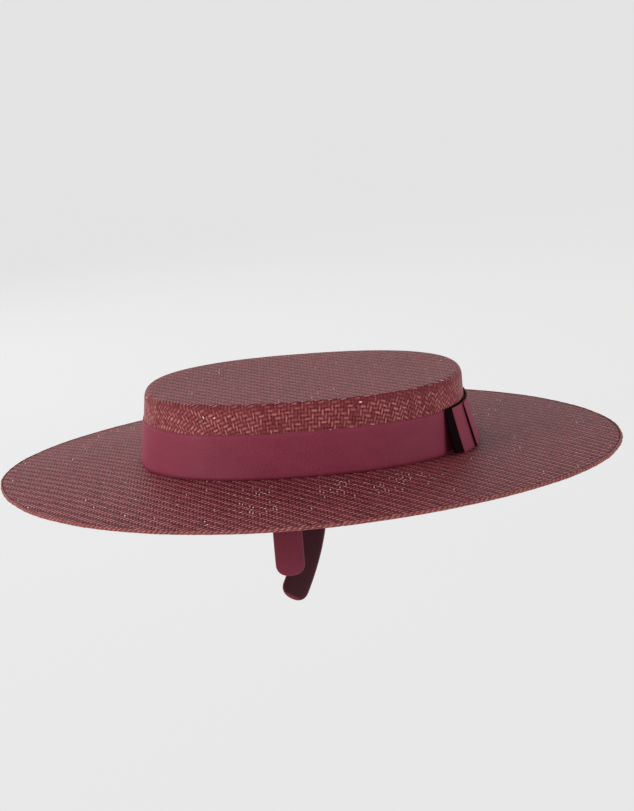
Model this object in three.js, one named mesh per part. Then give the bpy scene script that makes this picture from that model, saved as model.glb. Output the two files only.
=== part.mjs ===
// A wide straw boater: a low flat-topped crown on a broad, almost flat oval brim, with a
// ribbon round the crown, two flat lengths of the same ribbon stacked as a trim at one end,
// and a ribbon-covered headband sewn inside, whose two arms reach below the brim.
// Millimetres. X runs the length of the head, towards the trim, Y across it, Z up.
// The origin is the middle of the head opening, level with the top of the brim.

import * as THREE from "three";

// The straw body
const CROWN_LENGTH = 188.3; // outside of the straw wall at its foot
const CROWN_WIDTH = 153.6;
const CROWN_HEIGHT = 41.7;
const CROWN_DRAW_IN = 2.7; // how much further in each side is at the top than at the foot
const CROWN_LEAN = 2.4; // how far the top lies towards +X of the foot
const CROWN_DIP = 2.2; // how much lower it sits at its +X end than at the other
const CROWN_EDGE_RADIUS = 3.8;
const CROWN_ROUNDNESS = 2.34; // exponent of the crown's oval: 2 is an ellipse
const STRAW = 1.6;
const BRIM_LENGTH = 361.5;
const BRIM_WIDTH = 332.9;
const BRIM_SHIFT = 3.3; // the brim reaches further at the +X end by twice this
const BRIM_ROUNDNESS = 1.91;
const BRIM_DROOP = 3.1; // how far the edge lies below the foot of the crown
const BRIM_ARCH = 0.85; // the edge is this much lower at the two ends, and higher at the sides
const BRIM_WAVE = 0.75; // and uneven by this much, in three waves round the hat
const BRIM_WAVE_TURN = -103.5; // degrees round the hat
const COLLAR_HEIGHT = 5; // the brim turned up inside the crown
const COLLAR = 1.2;
const COLLAR_BEND = 2;
const HEM_WIDTH = 7; // straw turned under at the edge
const HEM = 1.2;

// The ribbon and its trim: two stacked lengths of ribbon on a narrow dark backing
const RIBBON_WIDTH = 25.4;
const RIBBON = 1; // two plies pressed flat in the trim
const RIBBON_LIFT = 0.7; // its lower edge above the brim
const RIBBON_STRIDE = 0.25; // step in which a length along it is measured
const TRIM_LENGTH = 89.6; // lower length of ribbon, along the crown
const TRIM_SHORT_LENGTH = 58.4; // the one on top of it
const TRIM_SPLAY = 3; // extra stand-off along the trim's lower edge
const TRIM_END_SPRING = 0.4; // and at its two ends
const BACKING_LENGTH = 104;
const BACKING_WIDTH = 24.8;
const BACKING_PEEP = 1.2; // how far it shows above the ribbon
const BACKING = 1;

// The headband
const HEADBAND_WIDTH = 16.5;
const HEADBAND = 3;
const HEADBAND_INSET = 15.3; // its arch springs this far inside the crown's foot, each side
const HEADBAND_SPAN = CROWN_WIDTH - 2 * HEADBAND_INSET;
const HEADBAND_RISE = 46; // arch above that level
const HEADBAND_ARM = 75.5; // arm below that level
const HEADBAND_GRIP = 10; // how far each tip draws inwards
const HEADBAND_TILT = 23.2; // degrees that the band leans across the hat
const HEADBAND_SHIFT = 16; // towards +Y
const HEADBAND_TIP_X = -13.6; // the short arm's tip, along the hat
const HEADBAND_LONG_TIP_X = -15.8;
const HEADBAND_SWAY = 19.2; // how far the band runs towards +X between the tips
const HEADBAND_SWAY_SKEW = 2.5; // above 1, the sway is greatest on the long arm's side
const HEADBAND_BLUNTNESS = 2.4; // of the tips: 2 is a half round
const HEADBAND_TIP = 0.35; // beyond its last section, where a tip would close
const HEADBAND_TWIST = -20; // degrees that the long arm turns about its own length

const GAP = 0.3; // between pieces that are sewn or rest on one another
const ROUND_STEPS = 72; // facets round the hat

const radians = THREE.MathUtils.degToRad;
const lerp = THREE.MathUtils.lerp;

// A closed triangle mesh from rings of points. The rings join in order, each to the next.
// With closed set the last joins the first; otherwise a fan closes each end.
function meshFromRings(rings, closed) {
  const count = rings[0].length;
  const points = rings.flat();
  const faces = [];
  const pairs = closed ? rings.length : rings.length - 1;
  for (let r = 0; r < pairs; r++) {
    const near = r * count;
    const far = ((r + 1) % rings.length) * count;
    for (let k = 0; k < count; k++) {
      const next = (k + 1) % count;
      faces.push(near + k, near + next, far + next);
      faces.push(near + k, far + next, far + k);
    }
  }
  if (!closed) {
    for (const [ring, flip] of [[0, true], [rings.length - 1, false]]) {
      const middle = rings[ring].reduce((sum, p) => sum.add(p), new THREE.Vector3());
      points.push(middle.divideScalar(count));
      for (let k = 0; k < count; k++) {
        const next = (k + 1) % count;
        const [a, b] = flip ? [next, k] : [k, next];
        faces.push(ring * count + a, ring * count + b, points.length - 1);
      }
    }
  }
  const geometry = new THREE.BufferGeometry().setFromPoints(points);
  geometry.setIndex(faces);
  return geometry;
}

// One ring of points on an oval |x/a|^n + |y/b|^n = 1 whose middle lies at x = shift
function ovalRing(halfLength, halfWidth, roundness, height, shift) {
  const ring = [];
  for (let k = 0; k < ROUND_STEPS; k++) {
    const angle = (2 * Math.PI * k) / ROUND_STEPS;
    const c = Math.cos(angle);
    const s = Math.sin(angle);
    const x = halfLength * Math.sign(c) * Math.abs(c) ** (2 / roundness);
    const y = halfWidth * Math.sign(s) * Math.abs(s) ** (2 / roundness);
    ring.push(new THREE.Vector3(x + shift, y, height(angle, x + shift)));
  }
  return ring;
}

// How far the leaning crown's middle lies towards +X at a height
function crownShift(height) {
  return (CROWN_LEAN * height) / CROWN_HEIGHT;
}

// How far the crown, and all that it carries, dips at a place along the hat
function crownDip(x) {
  return (CROWN_DIP * x) / CROWN_LENGTH;
}

// A ring at a distance outside the crown's foot line (inside where it is negative)
function crownRing(outset, height, share = 1) {
  return ovalRing(
    share * (CROWN_LENGTH / 2 + outset),
    share * (CROWN_WIDTH / 2 + outset),
    CROWN_ROUNDNESS,
    (angle, x) => height - crownDip(x),
    crownShift(height),
  );
}

// How far the wall's outer face stands outside its foot line at a height: it leans inwards
function wallOutset(height) {
  return (-CROWN_DRAW_IN * height) / CROWN_HEIGHT;
}

// The crown: a slightly tapered wall, a rounded edge and a flat tip, all one straw thick
function crown() {
  const edgeStart = CROWN_HEIGHT - CROWN_EDGE_RADIUS;
  const wallHeights = [0, 0.35, 0.7].map((share) => lerp(GAP, edgeStart, share));
  const edgeTurns = [0, 22.5, 45, 67.5, 90].map(radians);
  const tipShares = [0.75, 0.4];
  const face = (depth) => {
    const radius = CROWN_EDGE_RADIUS - depth;
    const middle = wallOutset(edgeStart) - CROWN_EDGE_RADIUS;
    const wall = wallHeights.map((height) => crownRing(wallOutset(height) - depth, height));
    const edge = edgeTurns.map((turn) =>
      crownRing(middle + radius * Math.cos(turn), edgeStart + radius * Math.sin(turn)),
    );
    const tip = tipShares.map((share) => crownRing(middle, CROWN_HEIGHT - depth, share));
    return [...wall, ...edge, ...tip];
  };
  return meshFromRings([...face(STRAW).reverse(), ...face(0)], false);
}

// The height of the brim's upper face, falling away from the crown to the edge
function brimTop(share, angle) {
  const arch = -BRIM_ARCH * Math.cos(2 * angle);
  const wave = BRIM_WAVE * Math.sin(3 * angle + radians(BRIM_WAVE_TURN));
  return -BRIM_DROOP * share ** 1.5 + share * share * (arch + wave);
}

// A ring on the brim, from the foot of the crown (share 0), where it follows the crown's dip,
// to its outer edge (share 1)
function brimRing(share, below, outset = 0) {
  const edgeInset = GAP + HEM;
  const inner = -STRAW - GAP;
  return ovalRing(
    lerp(CROWN_LENGTH / 2 + inner, BRIM_LENGTH / 2 - edgeInset, share) + outset,
    lerp(CROWN_WIDTH / 2 + inner, BRIM_WIDTH / 2 - edgeInset, share) + outset,
    lerp(CROWN_ROUNDNESS, BRIM_ROUNDNESS, share ** 0.7),
    (angle, x) => brimTop(share, angle) - crownDip(x) * (1 - share) ** 2 - below,
    BRIM_SHIFT * share,
  );
}

// The brim: a thin oval sheet whose inner edge turns up inside the crown as a collar
function brim() {
  const collarTop = COLLAR_HEIGHT;
  const drawnIn = (height) => -STRAW - GAP - (CROWN_DRAW_IN * height) / CROWN_HEIGHT;
  const inside = -STRAW - GAP - COLLAR;
  const shares = [0, 0.08, 0.2, 0.4, 0.6, 0.8, 0.93, 1];
  const bend = [0, 30, 60, 90].map(radians);
  return meshFromRings(
    [
      crownRing(drawnIn(collarTop), collarTop),
      ...shares.map((share) => brimRing(share, 0)),
      ...shares.slice(2).reverse().map((share) => brimRing(share, STRAW)),
      ...bend.map((turn) =>
        crownRing(
          inside + COLLAR_BEND * (1 - Math.sin(turn)),
          -STRAW + COLLAR_BEND * (1 - Math.cos(turn)),
        ),
      ),
      crownRing(drawnIn(collarTop) - COLLAR, collarTop),
    ].reverse(),
    true,
  );
}

// The hem: the straw turned round the edge of the brim and back under it
function brimHem() {
  const brimReach = BRIM_LENGTH / 2 - GAP - HEM - (CROWN_LENGTH / 2 - STRAW - GAP);
  const innerShare = 1 - HEM_WIDTH / brimReach;
  const under = STRAW + GAP;
  return meshFromRings(
    [
      brimRing(1, 0, GAP),
      brimRing(1, -0.15, GAP + HEM / 2),
      brimRing(1, 0.4, GAP + HEM),
      brimRing(1, under + HEM / 2, GAP + HEM),
      brimRing(1, under + HEM, GAP),
      brimRing(innerShare, under + HEM),
      brimRing(innerShare, under),
      brimRing(1, under, GAP),
    ].reverse(),
    true,
  );
}

// The ribbon round the crown, close on the straw
function hatBand() {
  const heights = [0, 0.08, 0.2, 0.6, 1].map((share) => RIBBON_LIFT + share * RIBBON_WIDTH);
  const outer = heights.map((height) => crownRing(wallOutset(height) + GAP + RIBBON, height));
  const inner = heights.map((height) => crownRing(wallOutset(height) + GAP, height));
  return meshFromRings([...inner.reverse(), ...outer], true);
}

// A point beside the ribbon: along the crown from its end at +X, out from the ribbon, and up
function besideRibbon(along, out, height) {
  const outset = wallOutset(height) + GAP + RIBBON;
  const a = CROWN_LENGTH / 2 + outset;
  const b = CROWN_WIDTH / 2 + outset;
  const n = CROWN_ROUNDNESS;
  const facing = (x, y) =>
    new THREE.Vector2((x / a) ** (n - 1) / a, (y / b) ** (n - 1) / b).normalize();
  const strides = Math.ceil(Math.abs(along) / RIBBON_STRIDE);
  let x = a;
  let y = 0;
  for (let k = 0; k < strides; k++) {
    y += (Math.abs(along) / strides) * facing(x, y).x;
    x = a * Math.max(0, 1 - (y / b) ** n) ** (1 / n);
  }
  const normal = facing(x, y);
  const place = x + out * normal.x + crownShift(height);
  return new THREE.Vector3(place, Math.sign(along) * (y + out * normal.y), height - crownDip(place));
}

// A flat length of ribbon laid over the end of the crown, its lower edge standing off
function trimLayer({ length, width, thickness, inside, bottom }) {
  const places = [];
  for (let k = -10; k <= 10; k++) {
    places.push(((Math.abs(k) / 10) ** 0.8 * Math.sign(k) * length) / 2);
  }
  const heights = [0, 0.25, 0.5, 0.75, 1];
  const section = (along) => {
    const point = (share, depth) => {
      const splay = TRIM_SPLAY * (1 - share) ** 1.3;
      const spring = TRIM_END_SPRING * (along / (TRIM_LENGTH / 2)) ** 2;
      return besideRibbon(along, inside + depth + splay + spring, bottom + share * width);
    };
    const back = heights.map((share) => point(share, 0));
    const front = heights.map((share) => point(share, thickness)).reverse();
    return [...back, ...front];
  };
  return meshFromRings(places.map(section), false);
}

const TRIM_BACKING = {
  length: BACKING_LENGTH,
  width: BACKING_WIDTH,
  thickness: BACKING,
  inside: GAP,
  bottom: RIBBON_LIFT + RIBBON_WIDTH + BACKING_PEEP - BACKING_WIDTH,
};
const TRIM_LONG = {
  length: TRIM_LENGTH,
  width: RIBBON_WIDTH,
  thickness: RIBBON,
  inside: TRIM_BACKING.inside + BACKING + GAP,
  bottom: RIBBON_LIFT,
};
const TRIM_SHORT = {
  length: TRIM_SHORT_LENGTH,
  width: RIBBON_WIDTH,
  thickness: RIBBON,
  inside: TRIM_LONG.inside + RIBBON + GAP,
  bottom: RIBBON_LIFT,
};

// The headband's middle line: an arch with two arms in one plane, leant across the hat,
// swaying along it, and hung so that its highest point lies under the crown's tip
function headbandLine() {
  const halfSpan = (HEADBAND_SPAN + HEADBAND) / 2;
  const armSteps = [1, 0.99, 0.965, 0.92, 0.8, 0.6, 0.4, 0.2];
  const archSteps = 22;
  const arm = (side) =>
    armSteps.map((share) => [
      side * (halfSpan - HEADBAND_GRIP * share ** 2),
      -HEADBAND_ARM * share,
    ]);
  const arch = [];
  for (let k = 0; k <= archSteps; k++) {
    const turn = Math.PI * (1 - k / archSteps);
    arch.push([halfSpan * Math.cos(turn), HEADBAND_RISE * Math.sin(turn)]);
  }
  const flat = [...arm(-1), ...arch, ...arm(1).reverse()];
  const tilt = radians(HEADBAND_TILT);
  const leant = flat.map(([across, up]) => [
    across * Math.cos(tilt) + up * Math.sin(tilt) + HEADBAND_SHIFT,
    up * Math.cos(tilt) - across * Math.sin(tilt),
  ]);
  const peak = Math.max(...leant.map(([, up]) => up));
  const ceiling = CROWN_HEIGHT - STRAW - GAP - crownDip(HEADBAND_WIDTH / 2);
  const hang = ceiling - HEADBAND / 2 - peak;
  const lengths = leant.map(([y, z], k) =>
    k ? Math.hypot(y - leant[k - 1][0], z - leant[k - 1][1]) : 0,
  );
  const total = lengths.reduce((sum, length) => sum + length, 0);
  let gone = 0;
  return leant.map(([y, z], k) => {
    gone += lengths[k];
    const share = gone / total;
    const sway = HEADBAND_SWAY * Math.sin(Math.PI * share ** HEADBAND_SWAY_SKEW);
    const x = lerp(HEADBAND_TIP_X, HEADBAND_LONG_TIP_X, share) + sway;
    const point = new THREE.Vector3(x, y, z + hang - crownDip(x));
    return { point, share, fromTip: Math.min(gone, total - gone) };
  });
}

// The headband: a flat padded strip with soft edges and rounded tips along that line
function headband() {
  const line = headbandLine();
  const sides = 14;
  const tipRadius = HEADBAND_WIDTH * 0.44;
  const rings = line.map(({ point, share, fromTip }, k) => {
    const before = line[Math.max(0, k - 1)].point;
    const after = line[Math.min(line.length - 1, k + 1)].point;
    const along = after.clone().sub(before).normalize();
    const across = new THREE.Vector3(1, 0, 0).addScaledVector(along, -along.x).normalize();
    across.applyAxisAngle(along, radians(HEADBAND_TWIST) * share ** 3);
    const through = along.clone().cross(across);
    const rest = Math.min(1, (fromTip + HEADBAND_TIP) / tipRadius);
    const taper = (1 - (1 - rest) ** HEADBAND_BLUNTNESS) ** (1 / HEADBAND_BLUNTNESS);
    const ring = [];
    for (let s = 0; s < sides; s++) {
      const turn = (2 * Math.PI * (s + 0.5)) / sides;
      const c = Math.cos(turn);
      const n = Math.sin(turn);
      const wide = Math.sign(c) * Math.abs(c) ** 0.55 * (HEADBAND_WIDTH / 2) * taper;
      const thick = Math.sign(n) * Math.abs(n) ** 0.55 * (HEADBAND / 2) * Math.sqrt(taper);
      ring.push(point.clone().addScaledVector(across, wide).addScaledVector(through, thick));
    }
    return ring;
  });
  return meshFromRings(rings, false);
}

// One finish for each stuff that the hat is made of
const finish = (color, roughness) =>
  new THREE.MeshStandardMaterial({ color, roughness, metalness: 0 });
const straw = finish(0x6d3038, 0.62);
const strawEdge = finish(0x7c3840, 0.6);
const ribbon = finish(0x7c2a3e, 0.7);
const backing = finish(0x120406, 0.9);
const cover = finish(0x6a2233, 0.65);

const hat = new THREE.Group();
for (const [name, geometry, material] of [
  ["crown", crown(), straw],
  ["brim", brim(), straw],
  ["brim_hem", brimHem(), strawEdge],
  ["hat_band", hatBand(), ribbon],
  ["trim_backing", trimLayer(TRIM_BACKING), backing],
  ["trim_long_ribbon", trimLayer(TRIM_LONG), ribbon],
  ["trim_short_ribbon", trimLayer(TRIM_SHORT), ribbon],
  ["headband", headband(), cover],
]) {
  const mesh = new THREE.Mesh(geometry, material);
  mesh.name = name;
  hat.add(mesh);
}

export default hat;
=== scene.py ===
"""A burgundy straw boater: woven crown and wide brim, ribbon, stacked ribbon trim and headband.

Everything is in metres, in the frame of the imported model: X runs along the head towards the
trim, Y across it, Z up, and the origin is the middle of the head opening at the brim.
"""

import logging
import math
from dataclasses import dataclass, field
from enum import Enum

import bmesh
import bpy
import numpy as np
from mathutils import Matrix, Vector


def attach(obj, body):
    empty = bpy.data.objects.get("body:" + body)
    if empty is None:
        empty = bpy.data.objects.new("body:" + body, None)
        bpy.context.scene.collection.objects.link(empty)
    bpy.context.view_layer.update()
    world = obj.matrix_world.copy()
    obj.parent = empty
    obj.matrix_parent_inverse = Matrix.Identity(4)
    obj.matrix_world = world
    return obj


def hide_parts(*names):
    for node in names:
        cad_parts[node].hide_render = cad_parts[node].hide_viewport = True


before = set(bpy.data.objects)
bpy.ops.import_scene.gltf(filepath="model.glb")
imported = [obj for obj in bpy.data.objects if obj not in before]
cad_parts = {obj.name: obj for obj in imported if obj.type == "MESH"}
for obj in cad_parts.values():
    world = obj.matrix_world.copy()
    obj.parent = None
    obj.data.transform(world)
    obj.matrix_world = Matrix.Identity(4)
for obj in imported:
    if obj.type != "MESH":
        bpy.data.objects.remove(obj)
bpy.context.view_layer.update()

Array = np.ndarray
Colour = tuple[float, float, float, float]
Socket = bpy.types.NodeSocket
MM = 0.001
GAP = 0.3 * MM  # between pieces that are sewn together
ROUND = 432  # columns round the hat
log = logging.getLogger("boater")


# Surfaces

def superoval(angle: Array, half_length: Array, half_width: Array, power: Array) -> tuple[Array, Array]:
    """Points on |x/a|^n + |y/b|^n = 1.

    The point at an angle t is x = a sign(cos t) |cos t|^(2/n), y = b sign(sin t) |sin t|^(2/n).

    Args:
        angle: angle t, in radians.
        half_length: a, in metres.
        half_width: b, in metres.
        power: n; 2 is an ellipse.

    Returns:
        The x and y of the points.
    """
    c, s = np.cos(angle), np.sin(angle)
    x = half_length * np.sign(c) * np.abs(c) ** (2 / power)
    y = half_width * np.sign(s) * np.abs(s) ** (2 / power)
    return x, y


def full_turn(count: int) -> Array:
    """Evenly spaced angles round a full turn, from 0."""
    return np.linspace(0, 2 * math.pi, count, endpoint=False)


def grid(*parts: Array) -> Array:
    """Values that broadcast to one grid, side by side in its last axis."""
    return np.stack(np.broadcast_arrays(*parts), axis=-1)


def closed_round(points: Array) -> Array:
    """A grid with its first column again after its last."""
    return np.concatenate([points, points[:, :1]], axis=1)


def unit(vectors: Array) -> Array:
    """Vectors over their length."""
    return vectors / np.linalg.norm(vectors, axis=-1, keepdims=True)


def plan_normal(tangent: Array) -> Array:
    """Outward unit normals in plan: the tangent turned a right angle clockwise, with no z."""
    return unit(grid(tangent[..., 1], -tangent[..., 0], 0 * tangent[..., 0]))


def ring_normals(points: Array) -> Array:
    """Outward normals in plan of closed rings: rows of rings, columns round them, xyz."""
    return plan_normal(np.roll(points, -1, axis=1) - np.roll(points, 1, axis=1))


def arc_length(points: Array) -> Array:
    """Length gone along each row of points, from its first column: the running sum of steps.

    Args:
        points: rows, columns, xyz.

    Returns:
        Rows, columns.
    """
    steps = np.linalg.norm(np.diff(points, axis=1), axis=-1)
    return np.concatenate([np.zeros((points.shape[0], 1)), np.cumsum(steps, axis=1)], axis=1)


def smoothstep(low: float, high: float, value: Array) -> Array:
    """Goes smoothly from 0 at low to 1 at high, as t t (3 - 2 t).

    Args:
        low: the value that gives 0.
        high: the value that gives 1; it may be the lower one.
        value: what t is the share of, from low to high.

    Returns:
        The share, from 0 to 1.
    """
    t = np.clip((value - low) / (high - low), 0, 1)
    return t * t * (3 - 2 * t)


def ripple(angle: Array, amplitude: float, seed: int, waves: tuple[int, ...]) -> Array:
    """A smooth closed unevenness: a sum of sines of whole wave numbers with seeded phases.

    Args:
        angle: angle round the hat, in radians.
        amplitude: greatest size of one sine, in metres.
        seed: seed of the phases.
        waves: the wave numbers.

    Returns:
        The unevenness at each angle, in metres.
    """
    phases = np.random.default_rng(seed).uniform(0, 2 * math.pi, len(waves))
    return sum(amplitude / (k + 1) * np.sin(n * angle + p) for k, (n, p) in enumerate(zip(waves, phases)))


def end_rings(points: Array) -> tuple[Array, Array]:
    """Vertex numbers of a grid's first row, backwards, and of its last row.

    Args:
        points: rows, columns, xyz.

    Returns:
        The two rings of vertex numbers.
    """
    rows, columns = points.shape[:2]
    ring = np.arange(columns)
    return ring[::-1], ring + (rows - 1) * columns


def build_surface(
    name: str,
    points: Array,
    uv: Array | None,
    wrap_rows: bool,
    wrap_columns: bool,
    caps: tuple[Array, ...] = (),
) -> bpy.types.Object:
    """Makes a smooth mesh object from a grid of points.

    Args:
        name: the object's name.
        points: rows, columns, xyz.
        uv: strand coordinates: rows, columns + 1, 2. None for no map.
        wrap_rows: joins the last row to the first.
        wrap_columns: joins the last column to the first.
        caps: rings of vertex numbers, each closed by one flat face.

    Returns:
        The linked object.
    """
    rows, columns = points.shape[:2]
    r = np.arange(rows if wrap_rows else rows - 1)
    c = np.arange(columns if wrap_columns else columns - 1)
    low, left = np.meshgrid(r, c, indexing="ij")
    high, right = (low + 1) % rows, (left + 1) % columns
    here, above = low * columns, high * columns
    faces = np.stack([here + left, here + right, above + right, above + left], -1)
    mesh = bpy.data.meshes.new(name)
    quads = faces.reshape(-1, 4).tolist()
    mesh.from_pydata(points.reshape(-1, 3), [], quads + [cap.tolist() for cap in caps])
    mesh.polygons.foreach_set("use_smooth", np.arange(len(mesh.polygons)) < len(quads))
    if uv is not None:
        lows, highs = uv, np.roll(uv, -1, axis=0)
        corners = [lows[low, left], lows[low, left + 1], highs[low, left + 1], highs[low, left]]
        places = np.zeros((len(mesh.loops), 2), np.float32)
        places[: 4 * len(quads)] = np.stack(corners, axis=2).reshape(-1, 2)
        mesh.uv_layers.new(name="strands").data.foreach_set("uv", places.ravel())
    obj = bpy.data.objects.new(name, mesh)
    bpy.context.scene.collection.objects.link(obj)
    return obj


def outward(obj: bpy.types.Object) -> bpy.types.Object:
    """Turns every face of a closed mesh outwards.

    Args:
        obj: the piece.

    Returns:
        The same object.
    """
    bm = bmesh.new()
    bm.from_mesh(obj.data)
    bmesh.ops.recalc_face_normals(bm, faces=bm.faces)
    bm.to_mesh(obj.data)
    bm.free()
    return obj


# Finishes

@dataclass(frozen=True)
class Ramp:
    """A smooth change: from start where a value is low to end where it is high."""

    low: float
    high: float
    start: float
    end: float


class Nodes:
    """Adds shader nodes to a material and joins them."""

    def __init__(self, name: str) -> None:
        """Makes an empty node material with an output and a principled shader.

        Args:
            name: the material's name.
        """
        self.material = bpy.data.materials.new(name)
        self.material.use_nodes = True
        self.tree = self.material.node_tree
        self.tree.nodes.clear()
        output = self.tree.nodes.new("ShaderNodeOutputMaterial")
        self.shader = self.tree.nodes.new("ShaderNodeBsdfPrincipled")
        self.join(self.shader.outputs[0], output.inputs["Surface"])

    def join(self, source: Socket, target: Socket) -> None:
        """Links one socket to another."""
        self.tree.links.new(source, target)

    def feed(self, value: object, target: Socket) -> None:
        """Links a socket, or sets a plain value.

        Args:
            value: a socket, a number, a vector or a colour.
            target: the input that takes it.
        """
        if isinstance(value, Socket):
            self.join(value, target)
        else:
            target.default_value = value

    def math(self, operation: str, *values: object, clamp: bool = False) -> Socket:
        """A math node of up to three values.

        Args:
            operation: Blender's name of the operation.
            values: sockets or numbers.
            clamp: keeps the result from 0 to 1.

        Returns:
            The result.
        """
        node = self.tree.nodes.new("ShaderNodeMath")
        node.operation = operation
        node.use_clamp = clamp
        for socket, value in zip(node.inputs, values):
            self.feed(value, socket)
        return node.outputs[0]

    def add(self, first: object, *others: object) -> Socket:
        """The sum of values.

        Args:
            first: a socket or number.
            others: more of them.

        Returns:
            The sum.
        """
        for other in others:
            first = self.math("ADD", first, other)
        return first

    def times(self, first: object, *others: object) -> Socket:
        """The product of values.

        Args:
            first: a socket or number.
            others: more of them.

        Returns:
            The product.
        """
        for other in others:
            first = self.math("MULTIPLY", first, other)
        return first

    def minus(self, first: object, second: object) -> Socket:
        """One value less another."""
        return self.math("SUBTRACT", first, second)

    def mix(self, share: object, first: object, second: object) -> Socket:
        """A colour between two, by a share.

        Args:
            share: 0 for the first, 1 for the second.
            first: a colour.
            second: a colour.

        Returns:
            The colour.
        """
        node = self.tree.nodes.new("ShaderNodeMix")
        node.data_type = "RGBA"
        self.feed(share, node.inputs["Factor"])
        self.feed(first, node.inputs[6])
        self.feed(second, node.inputs[7])
        return node.outputs[2]

    def blend(self, share: object, first: object, second: object) -> Socket:
        """A number between two, by a share.

        Args:
            share: 0 for the first, 1 for the second.
            first: a number.
            second: a number.

        Returns:
            The number.
        """
        node = self.tree.nodes.new("ShaderNodeMix")
        node.data_type = "FLOAT"
        self.feed(share, node.inputs["Factor"])
        self.feed(first, node.inputs[2])
        self.feed(second, node.inputs[3])
        return node.outputs[0]

    def ramp(self, value: object, course: Ramp) -> Socket:
        """A value carried along a ramp.

        Args:
            value: a socket.
            course: the ramp.

        Returns:
            The number.
        """
        node = self.tree.nodes.new("ShaderNodeMapRange")
        node.interpolation_type = "SMOOTHSTEP"
        numbers = (value, course.low, course.high, course.start, course.end)
        for socket, number in zip(node.inputs[:5], numbers):
            self.feed(number, socket)
        return node.outputs[0]

    def vector(self, operation: str, first: object, second: object) -> Socket:
        """A vector math node of two values; a distance comes out as a number.

        Args:
            operation: Blender's name of the operation.
            first: a vector.
            second: a vector.

        Returns:
            The result.
        """
        node = self.tree.nodes.new("ShaderNodeVectorMath")
        node.operation = operation
        self.feed(first, node.inputs[0])
        self.feed(second, node.inputs[1])
        return node.outputs["Value" if operation == "DISTANCE" else "Vector"]

    def noise(self, vector: object, scale: float, detail: float) -> Socket:
        """A noise of a scale per metre, or per unit of the vector given.

        Args:
            vector: where it is read.
            scale: its scale.
            detail: how many finer noises lie on it.

        Returns:
            The noise, from 0 to 1.
        """
        node = self.tree.nodes.new("ShaderNodeTexNoise")
        self.feed(vector, node.inputs["Vector"])
        node.inputs["Scale"].default_value = scale
        node.inputs["Detail"].default_value = detail
        return node.outputs["Fac"]

    def noise_colour(self, vector: object, scale: float) -> Socket:
        """Three noises as one vector, of a scale per unit of the vector given.

        Args:
            vector: where they are read.
            scale: their scale.

        Returns:
            The three noises, each from 0 to 1.
        """
        node = self.tree.nodes.new("ShaderNodeTexNoise")
        self.feed(vector, node.inputs["Vector"])
        node.inputs["Scale"].default_value = scale
        node.inputs["Detail"].default_value = 0.0
        return node.outputs["Color"]

    def white(self, vector: object) -> Socket:
        """A random value for each whole step of a vector.

        Args:
            vector: whole numbers.

        Returns:
            The value, from 0 to 1.
        """
        node = self.tree.nodes.new("ShaderNodeTexWhiteNoise")
        self.feed(vector, node.inputs["Vector"])
        return node.outputs["Value"]

    def combine(self, x: object, y: object, z: object = 0.0) -> Socket:
        """A vector of three values.

        Args:
            x: a socket or number.
            y: a socket or number.
            z: a socket or number.

        Returns:
            The vector.
        """
        node = self.tree.nodes.new("ShaderNodeCombineXYZ")
        for socket, value in zip(node.inputs, (x, y, z)):
            self.feed(value, socket)
        return node.outputs[0]

    def separate(self, vector: Socket) -> list[Socket]:
        """The three values of a vector.

        Args:
            vector: the vector.

        Returns:
            x, y and z.
        """
        node = self.tree.nodes.new("ShaderNodeSeparateXYZ")
        self.join(vector, node.inputs[0])
        return list(node.outputs)

    def coordinates(self, output: str) -> Socket:
        """The object's own coordinates of a kind."""
        return self.tree.nodes.new("ShaderNodeTexCoord").outputs[output]

    def strands(self) -> tuple[Socket, Socket]:
        """The two strand coordinates of the piece's own map.

        Returns:
            i and j.
        """
        node = self.tree.nodes.new("ShaderNodeUVMap")
        node.uv_map = "strands"
        return tuple(self.separate(node.outputs[0])[:2])

    def bump(self, height: object, distance: float, strength: float) -> None:
        """Gives the shader a relief of a depth in metres.

        Args:
            height: the relief, from 0 to 1.
            distance: its depth.
            strength: how much of it shows.
        """
        node = self.tree.nodes.new("ShaderNodeBump")
        node.inputs["Strength"].default_value = strength
        node.inputs["Distance"].default_value = distance
        self.feed(height, node.inputs["Height"])
        self.join(node.outputs[0], self.shader.inputs["Normal"])


@dataclass(frozen=True)
class Twill:
    """The place on the twill that is being shaded, as shader sockets.

    along is 1 where the strand along j shows. cross goes from 0 to 1 across the float that
    shows and run from 0 to 2 along it; side and end are the distances from its middle, 1 at
    its rim. height is its relief, dye a random value per float, fibre a noise streaked along
    it, tone the sum that makes a float light, and hole the shade where four cells meet.
    """

    along: Socket
    cross: Socket
    run: Socket
    side: Socket
    end: Socket
    height: Socket
    dye: Socket
    fibre: Socket
    tone: Socket
    hole: Socket


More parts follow.
